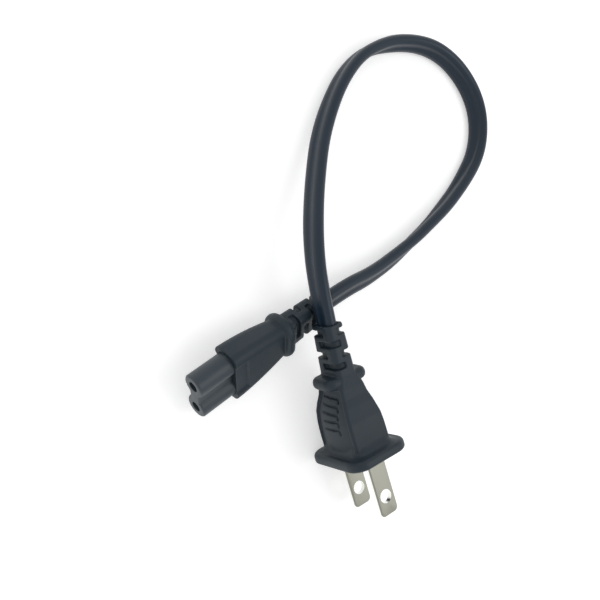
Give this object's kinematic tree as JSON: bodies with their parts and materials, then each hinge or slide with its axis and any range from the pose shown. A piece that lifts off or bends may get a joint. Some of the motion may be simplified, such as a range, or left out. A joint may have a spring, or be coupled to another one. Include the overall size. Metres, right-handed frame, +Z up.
{
  "type": "power cord",
  "caption": "Short flat-flex power cord with a flat-blade wall plug at one end and a figure-eight appliance connector at the other.",
  "frame": {"origin": "centre of the plug's wall face, midway between the blades", "axes": "+X along the blades, out of the wall face; +Z up, through both blades; the cord lies on a surface 12.25 mm below the origin"},
  "size_m": [0.1409, 0.1473, 0.0245],
  "materials": {
    "overmould": "soft black moulding with a fine satin texture",
    "insert": "hard black moulding, slightly greyer",
    "flex": "satin black extruded sheath",
    "blades": "nickel-plated brass",
    "contacts": "plain spring brass",
    "copper": "stranded copper"
  },
  "bodies": {
    "root": {"plug_overmould": "overmould", "plug_bridge": "insert", "blade_upper": "blades", "blade_lower": "blades", "plug_wire_upper": "copper", "plug_wire_lower": "copper", "flex": "flex", "connector_overmould": "overmould", "connector_nose": "insert", "contact_upper": "contacts", "contact_lower": "contacts", "connector_wire_upper": "copper", "connector_wire_lower": "copper"}
  },
  "joints": []
}
